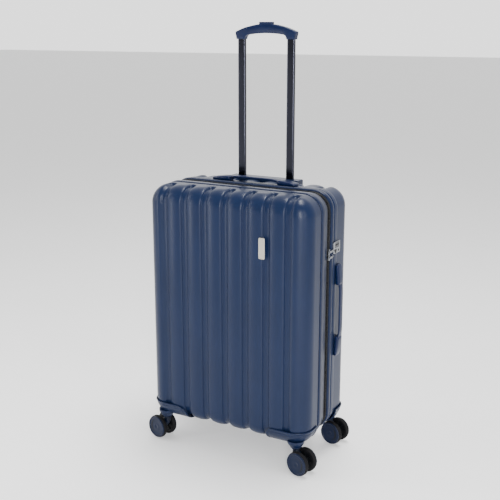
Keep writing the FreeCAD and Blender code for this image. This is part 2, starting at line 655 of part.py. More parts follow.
def zip_slider(name, low):
    """A slider body over the coil, with its pull turned back towards the lock."""
    body = new_body("zip_slider_" + name)
    saddle = new_sketch(body, "YZ_Plane", "case_width / 2 - tape_sunk + 0.3")
    draw_rounded_rectangle(saddle, "parting - slider_half", low, "parting + slider_half",
                           f"{low} + slider_long", "2")
    block = pad(body, saddle, "slider_high")
    round_edges(body, block, "1.2", lambda edge: edge.BoundBox.XMin > block.Shape.BoundBox.XMax - 0.1)
    tab = new_sketch(body, "YZ_Plane", "case_width / 2 + 2.2")
    draw_rounded_rectangle(tab, "parting - 2", f"{low} + 3", "lock_y - lock_wide / 2 - 0.5",
                           f"{low} + 10", "2")
    pad(body, tab, "pull_thick")


zip_slider("lower", "lock_z - 25")
zip_slider("upper", "lock_z - 11")


# ---- soft goods and the badge ------------------------------------------------------------------

divider = new_body("divider_panel")
divider_sketch = new_sketch(divider, "XZ_Plane", "0 - front_shell_edge - divider_back")
draw_case_outline(divider_sketch, "divider_inset")
pad(divider, divider_sketch, "divider_thick")

straps = []
for lean in (-size("strap_lean"), size("strap_lean")):
    strap = doc.addObject("Part::Box", "strap")
    strap.setExpression("Length", named("strap_long"))
    strap.setExpression("Width", named("strap_thick"))
    strap.setExpression("Height", named("strap_wide"))
    centre = Vector(0, size("back_bead_edge + 3"), size("strap_z"))
    middle = Vector(size("strap_long / 2"), size("strap_thick / 2"), size("strap_wide / 2"))
    strap.Placement = Placement(centre, Rotation(Y_AXIS, lean)) * Placement(-middle, Rotation())
    straps.append(strap)
crossed = doc.addObject("Part::MultiFuse", "cross_straps")
crossed.Shapes = straps

buckle = doc.addObject("Part::Box", "strap_buckle")
buckle.setExpression("Length", named("buckle_wide"))
buckle.setExpression("Width", named("buckle_deep"))
buckle.setExpression("Height", named("buckle_high"))
buckle.Placement.Base = Vector(size("- buckle_wide / 2"), size("back_bead_edge + 4 + strap_thick / 2"),
                               size("strap_z - buckle_high / 2"))

hinge_strip = doc.addObject("Part::Box", "fabric_hinge")
hinge_strip.setExpression("Length", named("hinge_thick"))
hinge_strip.setExpression("Width", named("back_bead_edge - parting - 0.5"))
hinge_strip.setExpression("Height", named("hinge_long"))
hinge_strip.Placement.Base = Vector(size("tape_sunk + tape_thick + 0.5 - case_width / 2"),
                                    size("parting + 0.5"), size("hinge_bottom"))

badge = new_body("badge")
badge_sketch = new_sketch(badge, "XZ_Plane", "case_depth / 2 + 0.05")
draw_rounded_rectangle(badge_sketch, "badge_x - badge_wide / 2", "badge_z - badge_high / 2",
                       "badge_x + badge_wide / 2", "badge_z + badge_high / 2", "2.5")
badge_plate = pad(badge, badge_sketch, "badge_thick")
round_edges(badge, badge_plate, "0.6",
            lambda edge: edge.BoundBox.YMax < -size("case_depth / 2 + badge_thick"))


# ---- check and write ---------------------------------------------------------------------------

doc.recompute()
for item in doc.Objects:
    if "Invalid" in item.State or "Error" in item.State:
        raise RuntimeError(f"{item.Label} failed: {item.State}")

NODE_TYPES = ("Part::Feature", "Part::Box", "Part::Cylinder", "PartDesign::Body", "Part::MultiFuse")
os.makedirs("parts", exist_ok=True)
for item in doc.Objects:
    if item.TypeId not in NODE_TYPES or item in straps:
        continue
    if item.Shape.isNull() or not item.Shape.isValid():
        raise RuntimeError(item.Label + " has no valid shape")
    item.Shape.exportStep(f"parts/{item.Label}.step")
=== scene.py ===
import json
import math

import bmesh
import bpy
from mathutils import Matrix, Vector


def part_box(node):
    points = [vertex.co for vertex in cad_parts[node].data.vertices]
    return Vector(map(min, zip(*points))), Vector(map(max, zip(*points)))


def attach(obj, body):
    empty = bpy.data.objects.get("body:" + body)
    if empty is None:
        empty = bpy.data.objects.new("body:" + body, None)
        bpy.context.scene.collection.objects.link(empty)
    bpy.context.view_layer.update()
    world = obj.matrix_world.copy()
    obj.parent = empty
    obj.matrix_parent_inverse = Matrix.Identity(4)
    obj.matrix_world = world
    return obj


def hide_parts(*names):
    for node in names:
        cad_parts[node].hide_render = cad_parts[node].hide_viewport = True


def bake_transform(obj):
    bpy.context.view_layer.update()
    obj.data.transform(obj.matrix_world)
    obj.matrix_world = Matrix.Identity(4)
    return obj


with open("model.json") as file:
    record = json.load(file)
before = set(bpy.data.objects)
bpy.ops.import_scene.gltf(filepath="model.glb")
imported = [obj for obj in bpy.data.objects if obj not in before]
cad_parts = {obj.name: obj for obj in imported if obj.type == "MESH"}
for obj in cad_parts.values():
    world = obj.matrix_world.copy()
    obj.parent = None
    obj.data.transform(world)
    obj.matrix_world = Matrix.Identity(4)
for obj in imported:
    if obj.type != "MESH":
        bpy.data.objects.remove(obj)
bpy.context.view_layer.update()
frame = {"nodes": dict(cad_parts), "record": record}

MM = 0.001


# ---------------------------------------------------------------- meshes

def add_mesh(name, verts, faces, body, materials, replaces=(), sharp=38):
    """A mesh from points in millimetres, smooth except at its sharp edges, riding on a CAD body."""
    mesh = bpy.data.meshes.new(name)
    mesh.from_pydata([(x * MM, y * MM, z * MM) for x, y, z in verts], [], faces)
    for m in materials:
        mesh.materials.append(m)
    tidy = bmesh.new()
    tidy.from_mesh(mesh)
    bmesh.ops.remove_doubles(tidy, verts=tidy.verts, dist=0.00002)
    bmesh.ops.recalc_face_normals(tidy, faces=tidy.faces)
    tidy.to_mesh(mesh)
    tidy.free()
    mesh.shade_smooth()
    mesh.set_sharp_from_angle(angle=math.radians(sharp))
    piece = bpy.data.objects.new(name, mesh)
    bpy.context.scene.collection.objects.link(piece)
    if replaces:
        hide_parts(*replaces)
    if body:
        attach(piece, body)
    return piece


def thicken(piece, thickness, inner=0, offset=-1.0, even=True):
    solid = piece.modifiers.new("wall", "SOLIDIFY")
    solid.thickness = thickness * MM
    solid.offset = offset
    solid.material_offset = inner
    solid.use_even_offset = even


def grid_faces(rows, columns, closed=False, ring=False):
    """Quads over rows of points, each row closed on itself or not, the last row meeting the first or not."""
    faces = []
    for r in range(rows if ring else rows - 1):
        s = (r + 1) % rows
        for c in range(columns if closed else columns - 1):
            d = (c + 1) % columns
            faces.append((r * columns + c, r * columns + d, s * columns + d, s * columns + c))
    return faces


def turned(profile, origin, axis, side, segments=48):
    """Points and faces of a profile of (radius, height) turned round an axis."""
    least_radius = 0.001
    up = Vector(axis).normalized()
    out = Vector(side).normalized()
    across = up.cross(out)
    verts = []
    for radius, height in profile:
        for k in range(segments):
            a = 2 * math.pi * k / segments
            ray = out * math.cos(a) + across * math.sin(a)
            verts.append(tuple(Vector(origin) + up * height + ray * max(radius, least_radius)))
    return verts, grid_faces(len(profile), segments, closed=True)


def loft(stations, sides=28):
    """A closed skin through stations: (centre, half axis, other half axis, squareness)."""
    verts, faces = [], []
    for centre, a, b, square in stations:
        centre, a, b = Vector(centre), Vector(a), Vector(b)
        for k in range(sides):
            u, v = superellipse(2 * math.pi * k / sides, 2 / square)
            verts.append(tuple(centre + a * u + b * v))
    faces = grid_faces(len(stations), sides, closed=True)
    faces.append(tuple(range(sides)))
    faces.append(tuple(range((len(stations) - 1) * sides, len(stations) * sides)))
    return verts, faces


def join(parts):
    """Several lots of points and faces as one."""
    verts, faces = [], []
    for more_verts, more_faces in parts:
        base = len(verts)
        verts += more_verts
        faces += [tuple(base + i for i in f) for f in more_faces]
    return verts, faces


def smoothstep(low, high, value):
    t = min(max((value - low) / (high - low), 0.0), 1.0)
    return t * t * (3 - 2 * t)


def superellipse(angle, power):
    """A point of the unit superellipse at this angle."""
    c, s = math.cos(angle), math.sin(angle)
    return math.copysign(abs(c) ** power, c), math.copysign(abs(s) ** power, s)


def box_mm(node):
    """A node's lowest and highest corners in millimetres."""
    low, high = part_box(node)
    return low / MM, high / MM


# ---------------------------------------------------------------- materials

class Shader:
    """A principled shader with helpers for the nodes that drive it."""

    def __init__(self, name, colour, rough, metal=0.0, sheen=0.0, specular=0.5):
        self.material = bpy.data.materials.new(name)
        self.material.use_nodes = True
        self.tree = self.material.node_tree
        self.bsdf = self.tree.nodes["Principled BSDF"]
        self.bsdf.inputs["Metallic"].default_value = metal
        self.bsdf.inputs["Sheen Weight"].default_value = sheen
        self.bsdf.inputs["Sheen Roughness"].default_value = 0.45
        self.bsdf.inputs["Specular IOR Level"].default_value = specular
        self.bsdf.inputs["Base Color"].default_value = (*colour, 1)
        self.bsdf.inputs["Roughness"].default_value = rough
        self.colour = colour
        self.rough = rough
        self.place = self.node("ShaderNodeTexCoord").outputs["Object"]

    def node(self, kind, **values):
        n = self.tree.nodes.new(kind)
        for key, value in values.items():
            setattr(n, key, value)
        return n

    def link(self, a, b):
        self.tree.links.new(a, b)

    def noise(self, scale, detail=4.0, stretch=(1, 1, 1), rough=0.55):
        mapping = self.node("ShaderNodeMapping")
        mapping.inputs["Scale"].default_value = stretch
        self.link(self.place, mapping.inputs["Vector"])
        n = self.node("ShaderNodeTexNoise")
        n.inputs["Scale"].default_value = scale
        n.inputs["Detail"].default_value = detail
        n.inputs["Roughness"].default_value = rough
        self.link(mapping.outputs["Vector"], n.inputs["Vector"])
        return n.outputs["Fac"]

    def spread(self, value, low, high, start=0.0, end=1.0):
        n = self.node("ShaderNodeMapRange")
        n.inputs["From Min"].default_value = start
        n.inputs["From Max"].default_value = end
        n.inputs["To Min"].default_value = low
        n.inputs["To Max"].default_value = high
        self.link(value, n.inputs["Value"])
        return n.outputs["Result"]

    def maths(self, operation, a, b):
        n = self.node("ShaderNodeMath", operation=operation)
        for socket, value in zip(n.inputs, (a, b)):
            if isinstance(value, (int, float)):
                socket.default_value = value
            else:
                self.link(value, socket)
        return n.outputs["Value"]

    def worn_edges(self, start=0.52, end=0.6):
        geometry = self.node("ShaderNodeNewGeometry")
        return self.spread(geometry.outputs["Pointiness"], 0.0, 1.0, start, end)

    def tint(self, mask, other):
        """Mixes another colour in where the mask is high."""
        mix = self.node("ShaderNodeMix", data_type="RGBA")
        socket = self.bsdf.inputs["Base Color"]
        if socket.is_linked:
            self.link(socket.links[0].from_socket, mix.inputs[6])
        else:
            mix.inputs[6].default_value = (*self.colour, 1)
        mix.inputs[7].default_value = (*other, 1)
        self.link(mask, mix.inputs[0])
        self.link(mix.outputs[2], socket)

    def roughen(self, value, spread):
        """Roughness varies by this much either way with the value."""
        socket = self.bsdf.inputs["Roughness"]
        least, most = max(self.rough - spread, 0.02), min(self.rough + spread, 1.0)
        self.link(self.spread(value, least, most, 0.3, 0.7), socket)

    def bump(self, height, distance, strength=1.0):
        n = self.node("ShaderNodeBump")
        n.inputs["Strength"].default_value = strength
        n.inputs["Distance"].default_value = distance * MM
        self.link(height, n.inputs["Height"])
        socket = self.bsdf.inputs["Normal"]
        if socket.is_linked:
            self.link(socket.links[0].from_socket, n.inputs["Normal"])
        self.link(n.outputs["Normal"], socket)


def scaled(colour, factor):
    return tuple(min(c * factor, 1.0) for c in colour)


def shell_plastic(name, colour):
    """Moulded polycarbonate: fine vertical brushing, soft mottling and scuffed crests."""
    s = Shader(name, colour, 0.33, specular=0.19)
    mottling = s.noise(9, 3)
    s.tint(s.spread(mottling, 0, 0.55, 0.35, 0.7), scaled(colour, 0.78))
    brushing = s.noise(900, 2, (1, 1, 0.03))
    s.tint(s.spread(brushing, 0, 0.35, 0.5, 0.75), scaled(colour, 1.5))
    s.tint(s.maths("MULTIPLY", s.worn_edges(0.53, 0.62), s.spread(s.noise(160, 3), 0, 0.5, 0.5, 0.7)),
           scaled(colour, 2.2))
    s.roughen(s.noise(14, 3), 0.02)
    s.bump(brushing, 0.05, 0.35)
    s.bump(s.noise(1700, 2), 0.03, 0.4)
    return s.material


def moulded(name, colour, rough, grain=1400):
    """Injection-moulded plastic with a spark-eroded grain and polished, rubbed edges."""
    s = Shader(name, colour, rough, specular=0.22)
    s.tint(s.spread(s.noise(26, 4), 0, 0.5, 0.35, 0.7), scaled(colour, 0.72))
    s.tint(s.maths("MULTIPLY", s.worn_edges(), s.spread(s.noise(210, 3), 0, 0.55, 0.45, 0.7)),
           scaled(colour, 2.0))
    s.roughen(s.noise(70, 5), 0.04)
    s.bump(s.noise(grain, 2), 0.03, 0.25)
    return s.material


def metal(name, colour, rough, stretch=(1, 1, 0.02), brushed=1200, share=1.0, lined=0.3):
    """Drawn metal with fine lines along its length and faint handling marks."""
    s = Shader(name, colour, rough, metal=share)
    lines = s.noise(brushed, 2, stretch)
    s.tint(s.spread(lines, 0, 0.4, 0.4, 0.75), scaled(colour, 0.7))
    s.tint(s.spread(s.noise(60, 5), 0, 0.5, 0.55, 0.75), scaled(colour, 0.8))
    s.roughen(s.noise(35, 4), 0.2 * lined)
    s.bump(lines, 0.02, lined)
    return s.material


def woven(name, colour, pitch, sheen=0.05, depth=0.12, ribbed=False, mottle=0.5):
    """Plain weave, or webbing with its heavier cross rib."""
    s = Shader(name, colour, 0.85, sheen=sheen, specular=0.12)
    threads = []
    for axis in ("X", "Y", "Z"):
        wave = s.node("ShaderNodeTexWave", wave_type="BANDS", bands_direction=axis, wave_profile="SIN")
        wave.inputs["Scale"].default_value = 1.0 / (pitch * MM) / 3.2
        wave.inputs["Distortion"].default_value = 0.6
        wave.inputs["Detail"].default_value = 1.0
        s.link(s.place, wave.inputs["Vector"])
        threads.append(wave.outputs["Fac"])
    weave = s.maths("ADD", s.maths("MULTIPLY", threads[0], threads[1]), threads[2])
    if ribbed:
        weave = s.maths("ADD", weave, threads[2])
    s.tint(s.spread(weave, 0, 0.6, 0.3, 1.6), scaled(colour, 1.7))
    s.tint(s.spread(s.noise(40, 4), 0, mottle, 0.4, 0.7), scaled(colour, 0.65))
    s.bump(weave, depth, 0.7)
    s.bump(s.noise(2600, 2), 0.05, 0.4)
    return s.material


def rubber(name, colour):
    """Dull tyre rubber with dusty patches."""
    s = Shader(name, colour, 0.72, specular=0.15)
    s.tint(s.spread(s.noise(90, 5), 0, 0.6, 0.45, 0.7), scaled(colour, 2.1))
    s.roughen(s.noise(150, 4), 0.1)
    s.bump(s.noise(900, 3), 0.06, 0.5)
    return s.material


blue_shell = shell_plastic("shell", (0.0058, 0.0130, 0.0415))
blue_trim = moulded("trim", (0.0046, 0.0110, 0.037), 0.34)
blue_grip = moulded("grip", (0.0018, 0.0076, 0.038), 0.36, grain=1000)
blue_fork = moulded("fork", (0.0022, 0.0052, 0.0165), 0.35)
blue_hub = moulded("hub", (0.0020, 0.0066, 0.0260), 0.36)
black_inner = moulded("inner", (0.004, 0.0045, 0.006), 0.42)
black_dial = moulded("dial", (0.012, 0.012, 0.014), 0.35)
black_tyre = rubber("tyre", (0.0045, 0.0045, 0.0055))
black_tube = metal("tube", (0.044, 0.045, 0.060), 0.12, lined=0.06)
aluminium = metal("guide", (0.15, 0.155, 0.165), 0.42)
steel = metal("steel", (0.50, 0.50, 0.51), 0.28, (1, 1, 1), 700)
chrome = metal("chrome", (0.27, 0.28, 0.30), 0.24, (1, 1, 1), 600)
silver = metal("badge", (0.44, 0.42, 0.365), 0.42, (1, 0.02, 1), 900, share=0.4)
zip_cloth = woven("zip_tape", (0.003, 0.0035, 0.005), 0.55, ribbed=True)
zip_coil = moulded("coil", (0.003, 0.003, 0.004), 0.3)
lining = woven("lining", (0.045, 0.050, 0.060), 0.5, sheen=0.15)
lining_dark = woven("lining_panel", (0.022, 0.025, 0.034), 0.6, sheen=0.1, mottle=0.08)
binding = woven("binding", (0.010, 0.011, 0.016), 0.8, ribbed=True)
strap_cloth = woven("webbing", (0.012, 0.014, 0.022), 0.9, ribbed=True, depth=0.2)

FINISH = {
    "shell_blue": blue_shell, "trim_blue": blue_trim, "grip_blue": blue_grip, "fork_blue": blue_fork,
    "tube_black": black_tube, "guide_aluminium": aluminium, "inner_black": black_inner, "steel": steel,
    "hub_blue": blue_hub, "tyre_black": black_tyre, "lock_chrome": chrome, "dial_black": black_dial,
    "badge_silver": silver, "zip_fabric": zip_cloth, "lining_fabric": lining, "strap_fabric": strap_cloth,
}

for part in frame["record"]["subparts"]:
    carried = frame["nodes"][part["node"]]
    carried.data.materials.clear()
    carried.data.materials.append(FINISH[part["material_slot"]])


# ---------------------------------------------------------------- the case's outline

shell_low, shell_high = box_mm("front_shell")
back_low, back_high = box_mm("back_shell")
HALF_WIDE = shell_high.x
BOTTOM, TOP = shell_low.z, shell_high.z
CORNER = 46.0
ROLL = 40.0
PITCH = 55.5
CHANNELS = [PITCH * (i - 3) for i in range(7)]
DEEP = 7.0
WALL = 2.5
CORE_X = HALF_WIDE - CORNER
CORE_LOW, CORE_HIGH = BOTTOM + CORNER, TOP - CORNER

# how the floor and side of a channel go, from its middle outwards: (distance, depth)
CHANNEL_SIDE = [(0.0, 1.0), (4.4, 1.0), (5.2, 0.9), (5.9, 1.0), (6.7, 0.98), (7.3, 0.86), (7.9, 0.58),
                (8.7, 0.32), (9.7, 0.14), (11.0, 0.04), (12.6, 0.0)]


def channel_depth(distance):
    """Share of the full depth at this distance from a channel's middle."""
    distance = abs(distance)
    for (a, p), (b, q) in zip(CHANNEL_SIDE, CHANNEL_SIDE[1:]):
        if distance <= b:
            return p + (q - p) * (distance - a) / (b - a)
    return 0.0


def straight_columns():
    """Places across the case, close together at each channel's sides."""
    offsets = sorted({s * d for d, _ in CHANNEL_SIDE for s in (-1, 1)})
    places = {-CORE_X, CORE_X}
    for c in CHANNELS:
        places.update(round(c + o, 3) for o in offsets if abs(c + o) < CORE_X - 0.3)
        for o in (-24, -20, -16, 16, 20, 24, 27.75, -27.75):
            if abs(c + o) < CORE_X - 0.3:
                places.add(round(c + o, 3))
    return sorted(places)


lock_low, lock_high = box_mm("lock_case")
COLUMNS = straight_columns()
ROWS = sorted([CORE_LOW + (CORE_HIGH - CORE_LOW) * k / 30 for k in range(31)]
              + [lock_low.z - 0.15, lock_low.z + 0.05, lock_low.z + 1.4,
                 lock_high.z - 1.4, lock_high.z - 0.05, lock_high.z + 0.15])


ARC = 12


def case_ring(inset, columns=COLUMNS, rows=ROWS, arc=ARC):
    """The case's outline seen from the front, moved in by inset: (x, z, outward x, outward z)."""
    r = CORNER - inset
    points = [(x, TOP - inset, 0.0, 1.0) for x in columns]

    def corner(cx, cz, start):
        for k in range(1, arc):
            a = math.radians(start - 90 * k / arc)
            points.append((cx + r * math.cos(a), cz + r * math.sin(a), math.cos(a), math.sin(a)))

    corner(CORE_X, CORE_HIGH, 90)
    points.extend((HALF_WIDE - inset, z, 1.0, 0.0) for z in reversed(rows))
    corner(CORE_X, CORE_LOW, 0)
    points.extend((x, BOTTOM + inset, 0.0, -1.0) for x in reversed(columns))
    corner(-CORE_X, CORE_LOW, -90)
    points.extend((inset - HALF_WIDE, z, -1.0, 0.0) for z in rows)
    corner(-CORE_X, CORE_HIGH, 180)
    return points


def half_shell(name, node, body, edge, face, side, extra_inset=None, holes=None):
    """A ribbed half of the case from its open edge (y) to its face, with walls and a lined inside."""
    reach = abs(face - edge)
    rim_end = 24.0
    fade_start, fade_length = rim_end - 8, 26
    crown_height = 5.6
    section = []
    for t in (0, 3.2, 4.4, 5.4, 7, 9, 11, 13, 14.5, 16, 17.5, 19, 20.5, 22, 24, 26, 28, 30):
        if t < reach - ROLL - 0.5:
            section.append((t, 0.0, 1.0, 0.0))
    t = 30.5
    while t < reach - ROLL - 0.5:
        section.append((t, 0.0, 1.0, 0.0))
        t += 3.0
    steps = 14
    for k in range(steps + 1):
        a = math.radians(90 * k / steps)
        section.append((reach - ROLL + ROLL * math.sin(a), ROLL * (1 - math.cos(a)),
                        math.cos(a), math.sin(a)))

    def sunk(x, along):
        """How far the surface lies under the plain case."""
        nearest = min(CHANNELS, key=lambda c: abs(x - c))
        dx = abs(x - nearest)
        over = max(0.0, rim_end + 6 - along)
        share = channel_depth(math.hypot(dx, over))
        middle = min(1.0, abs(dx - PITCH / 2) / (PITCH / 2))
        wrap = smoothstep(fade_start, fade_start + fade_length, along)
        inside = 1.0 - smoothstep(CORE_X - 8, CORE_X + 26, abs(x))
        crown = crown_height * middle ** 2 * wrap * inside
        if abs(x) > CORE_X + 8:
            share = 0.0
        return share * DEEP + crown * (1.0 - share)

    verts, faces = [], []

    def put(x, z, along, nx, nz, ny, inset_extra=0.0):
        drop = sunk(x, along) + inset_extra
        verts.append((x - nx * drop, edge + side * along - side * ny * drop, z - nz * drop))

    for along, inset, radial, forward in section:
        groove = 2.2 if along < 3.5 else (1.0 if along < 4.5 else 0.0)
        if extra_inset:
            groove += extra_inset(along)
        ring = case_ring(inset)
        for x, z, nx, nz in ring:
            put(x, z, along, nx * radial, nz * radial, forward, groove)
    rings, count = len(section), len(ring)
    for quad in grid_faces(rings, count, closed=True):
        if not (holes and holes([verts[i] for i in quad])):
            faces.append(quad)
    grid = {}
    for zi, z in enumerate(ROWS):
        for xi, x in enumerate(COLUMNS):
            grid[xi, zi] = len(verts)
            put(x, z, reach, 0.0, 0.0, 1.0)
    for zi in range(len(ROWS) - 1):
        for xi in range(len(COLUMNS) - 1):
            faces.append((grid[xi, zi], grid[xi + 1, zi], grid[xi + 1, zi + 1], grid[xi, zi + 1]))
    last = (rings - 1) * count
    east, north = len(COLUMNS) - 1, len(ROWS) - 1
    sides = [[grid[k, north] for k in range(east + 1)], [grid[east, north - k] for k in range(north + 1)],
             [grid[east - k, 0] for k in range(east + 1)], [grid[0, k] for k in range(north + 1)]]
    at = 0
    for side_points in sides:
        for k, (near, after) in enumerate(zip(side_points, side_points[1:])):
            faces.append((last + at + k, last + at + k + 1, after, near))
        at += len(side_points) - 1
        for k in range(ARC):
            faces.append((last + (at + k) % count, last + (at + k + 1) % count, side_points[-1]))
        at += ARC
    shell = add_mesh(name, verts, faces, body, [blue_shell, lining], [node], sharp=60)
    thicken(shell, WALL, inner=1)


def back_step(along):
    """The back half steps in a little behind its rim, which leaves a ridge down the side."""
    return 1.2 * smoothstep(17.0, 21.0, along)


bezel_low, bezel_high = box_mm("trolley_bezel")
hinge_low, hinge_high = box_mm("fabric_hinge")


def cut_out(points):
    """Whether a quad of the back shell lies inside the trolley's bezel or under the lock."""
    x = sum(p[0] for p in points) / 4
    y = sum(p[1] for p in points) / 4
    z = sum(p[2] for p in points) / 4
    margin = 3.5
    if z > bezel_low.z:
        return (bezel_low.x + margin < x < bezel_high.x - margin
                and bezel_low.y + margin < y < bezel_high.y - margin)
    return x > lock_low.x and y < lock_high.y - 0.8 and lock_low.z + 1.3 < z < lock_high.z - 1.3


half_shell("front_half_shell", "front_shell", "front_half", shell_high.y, shell_low.y, -1)
half_shell("back_half_shell", "back_shell", "back_half", back_low.y, back_high.y, 1, back_step, cut_out)


# ---------------------------------------------------------------- rims, zip and tape

PLAIN_COLUMNS = [-CORE_X + 2 * CORE_X * k / 24 for k in range(25)]


def swept_ring(profile, ring=True):
    """A profile of (y, height above the case's side) carried right round the case."""
    verts = []
    outline = case_ring(0.0, PLAIN_COLUMNS)
    for y, out in profile:
        verts += [(x + nx * out, y, z + nz * out) for x, z, nx, nz in outline]
    return verts, grid_faces(len(profile), len(outline), closed=True, ring=ring)


bead_low, bead_high = box_mm("front_rim_bead")
back_bead_low, back_bead_high = box_mm("back_rim_bead")
PROUD = bead_high.x - HALF_WIDE

verts, faces = swept_ring([
    (bead_low.y, -3.0), (bead_low.y, -0.6), (bead_low.y + 0.8, 0.5), (bead_low.y + 2.6, PROUD - 0.25),
    (bead_low.y + 6, PROUD), (bead_high.y - 7, PROUD - 0.1), (bead_high.y - 3.4, PROUD - 0.7),
    (bead_high.y - 1.6, -0.1), (bead_high.y - 0.7, -1.1), (bead_high.y + 0.6, -1.5),
    (bead_high.y + 11.4, -1.6), (bead_high.y + 12.6, -2.0), (bead_high.y + 13.0, -2.6),
    (bead_high.y + 12.6, -3.6), (bead_high.y - 2, -3.8)])
add_mesh("front_rim", verts, faces, "front_half", [blue_trim], ["front_rim_bead"])
verts, faces = swept_ring([
    (back_bead_low.y, -3.0), (back_bead_low.y + 0.3, -1.0), (back_bead_low.y + 1.6, 0.2),
    (back_bead_low.y + 3.6, PROUD - 0.3), (back_bead_low.y + 6.4, PROUD),
    (back_bead_high.y - 3.6, PROUD - 0.3), (back_bead_high.y - 1.4, 0.3),
    (back_bead_high.y, -0.8), (back_bead_high.y, -3.0), (back_bead_high.y - 2, -3.4)])
lock_gap = 0.1
verts = [(x, min(y, lock_low.y - lock_gap), z)
         if x > 0 and lock_low.z - lock_gap < z < lock_high.z + lock_gap else (x, y, z) for x, y, z in verts]
add_mesh("back_rim", verts, faces, "back_half", [blue_trim], ["back_rim_bead"])


def zip_tape(name, low_y, high_y, body, node):
    """A woven band round the case, flat."""
    steps = 8
    bow = [math.sin(math.pi * k / steps) for k in range(steps + 1)]
    profile = [(low_y + (high_y - low_y) * k / steps, -2.9 + 0.35 * b) for k, b in enumerate(bow)]
    verts, faces = swept_ring(profile, ring=False)
    tape = add_mesh(name, verts, faces, body, [zip_cloth], [node])
    thicken(tape, 0.7)


tape_low, tape_high = box_mm("zip_tape_front")
zip_tape("front_tape", tape_low.y, tape_high.y, "front_half", "zip_tape_front")
tape_low_b, tape_high_b = box_mm("zip_tape_back")
zip_tape("back_tape", tape_low_b.y, tape_high_b.y, "back_half", "zip_tape_back")


def walk_outline(step):
    """Places round the case at an even step, with along and up directions, the hinge's stretch left out."""
    path = []
    ring = case_ring(0.0, [-CORE_X, CORE_X], [CORE_LOW, CORE_HIGH], arc=24)
    ring.append(ring[0])
    carry = 0.0
    for (x0, z0, a0, b0), (x1, z1, a1, b1) in zip(ring, ring[1:]):
        length = math.hypot(x1 - x0, z1 - z0)
        at = carry
        while at < length:
            t = at / length
            x, z = x0 + (x1 - x0) * t, z0 + (z1 - z0) * t
            nx, nz = a0 + (a1 - a0) * t, b0 + (b1 - b0) * t
            if x >= -CORE_X - 20 or not hinge_low.z - 2 < z < hinge_high.z + 2:
                path.append((Vector((x, 0, z)), Vector((nz, 0, -nx)), Vector((nx, 0, nz))))
            at += step
        carry = at - length
    return path


def coil(name, y, lean, body):
    """One row of a zip's teeth, each a small leaning loop on its tape."""
    verts, faces = [], []
    pitch, sunk, sides = 2.4, -2.35, 6
    for place, along, up in walk_outline(pitch):
        centre = place + up * sunk + Vector((0, y, 0))
        tooth = []
        for end, rise in ((-1.0, 0.1), (0.0, 0.75), (1.0, 0.2)):
            for k in range(sides):
                a = math.pi * 2 * k / sides
                tooth.append(tuple(centre + Vector((0, lean * end, 0)) + up * (rise + 0.55 * math.sin(a))
                                   + along * (0.62 * math.cos(a))))
        caps = [tuple(range(sides)), tuple(range(2 * sides, 3 * sides))]
        base = len(verts)
        verts += tooth
        faces += [tuple(base + i for i in f) for f in grid_faces(3, sides, closed=True) + caps]
    add_mesh(name, verts, faces, body, [zip_coil])


parting = (tape_high.y + tape_low_b.y) / 2
coil("zip_coil_front", parting - 1.3, 1.2, "front_half")
coil("zip_coil_back", parting + 1.3, -1.2, "back_half")


def stitches(name, y, out, body):
    """A row of thread stitches along the edge of a band."""
    step, thread, sides = 4.0, 0.35, 6
    wide = Vector((0, thread, 0))
    parts = []
    for place, along, up in walk_outline(step):
        centre = place + up * out + Vector((0, y, 0))
        parts.append(loft([(centre + along * reach + up * rise, wide * share, up * thread * share, 2)
                           for reach, rise, share in ((-1.3, -0.2, 0.5), (-0.8, 0.15, 1), (0.8, 0.15, 1),
                                                      (1.3, -0.2, 0.5))], sides))
    verts, faces = join(parts)
    add_mesh(name, verts, faces, body, [zip_coil])


stitches("front_tape_stitching", parting - 6.4, -2.5, "front_half")


def zip_slider(node, low, high):
    """A slider's two plates on the teeth, its bridge, and a pull with an eye that reaches the lock."""
    z = (low.z + high.z) / 2
    body_end = low.y + 9.0
    middle_y = (low.y + body_end) / 2
    half = (high.z - low.z) / 2
    sides = 28

    def plate(bottom, top, wide, long):
        chamfer = 0.25
        return loft([(Vector((x, middle_y, z)), Vector((0, wide * share[0], 0)),
                      Vector((0, 0, long * share[1])), 4)
                     for x, share in ((bottom, (0.86, 0.93)), (bottom + chamfer, (1, 1)),
                                      (top - chamfer, (1, 1)), (top, (0.86, 0.93)))], sides)

    parts = [plate(low.x, low.x + 1.2, 4.2, half * 0.92), plate(low.x + 2.6, low.x + 4.0, 4.4, half * 0.96),
             plate(low.x + 1.0, low.x + 2.8, 1.2, half * 0.6)]
    bridge = []
    for k in range(11):
        a = math.pi * k / 10
        centre = Vector((low.x + 3.6 + 2.0 * math.sin(a), middle_y, z - 4.2 * math.cos(a)))
        ahead = Vector((2.0 * math.cos(a), 0, 4.2 * math.sin(a))).normalized()
        bridge.append((centre, Vector((0, 1.1, 0)), ahead.cross(Vector((0, 1, 0))) * 0.45, 3))
    parts.append(loft(bridge, 12))
    reach = high.y - middle_y
    pull_y, eye_y = middle_y + reach / 2, high.y - 4.6
    outline, rounded, eye = [], [], []
    for k in range(sides):
        a = 2 * math.pi * k / sides
        along = superellipse(a, 0.55)[0] * reach / 2
        wide = superellipse(a, 0.6)[1] * (2.5 + 0.5 * math.cos(a))
        outline.append((pull_y + along, z + wide))
        rounded.append((pull_y + along * 0.94, z + wide * 0.94))
        eye.append((eye_y + 2.7 * superellipse(a, 0.8)[0], z + 1.5 * math.sin(a)))
    top = high.x - 0.1
    loops = ((outline, top - 1.5), (outline, top - 0.2), (rounded, top), (eye, top), (eye, top - 1.5))
    verts = [(x, yy, zz) for loop, x in loops for yy, zz in loop]
    parts.append((verts, grid_faces(len(loops), sides, closed=True, ring=True)))
    verts, faces = join(parts)
    add_mesh(node + "_pull", verts, faces, node, [chrome], [node], sharp=35)


for node in ("zip_slider_lower", "zip_slider_upper"):
    zip_slider(node, *box_mm(node))


